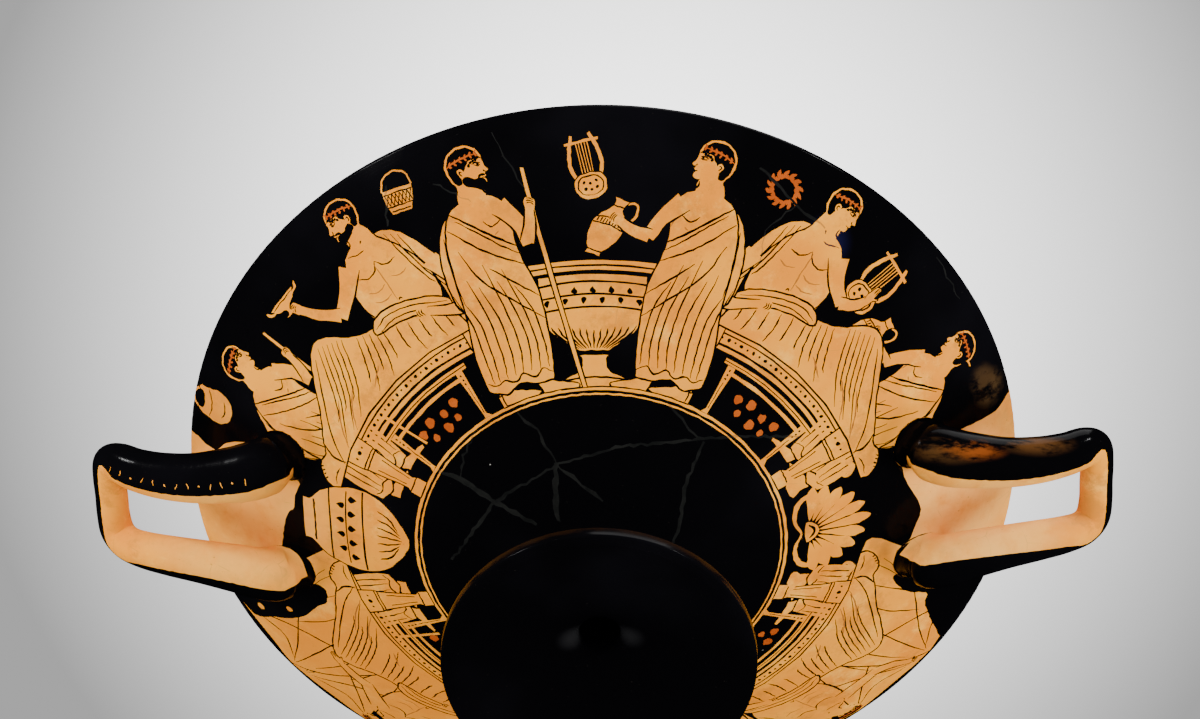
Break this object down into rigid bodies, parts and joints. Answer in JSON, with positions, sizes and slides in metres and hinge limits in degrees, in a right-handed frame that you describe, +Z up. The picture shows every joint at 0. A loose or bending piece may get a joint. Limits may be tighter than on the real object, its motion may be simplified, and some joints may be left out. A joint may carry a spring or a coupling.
{
  "type": "greek kylix drinking cup",
  "caption": "Wide shallow drinking cup on a stemmed foot with two horizontal loop handles, painted in black gloss and reserved clay.",
  "frame": {"origin": "centre of the circle that the foot stands on, on the stem's axis, between the two handles", "axes": "+Z up along the stem's axis to the bowl's mouth; X from handle to handle; Y across the bowl"},
  "size_m": [0.407, 0.332, 0.138],
  "materials": {
    "painted_clay": "fired orange clay with a glossy black slip glaze, figures left in the colour of the clay"
  },
  "bodies": {
    "root": {"kylix": "painted_clay"}
  },
  "joints": []
}
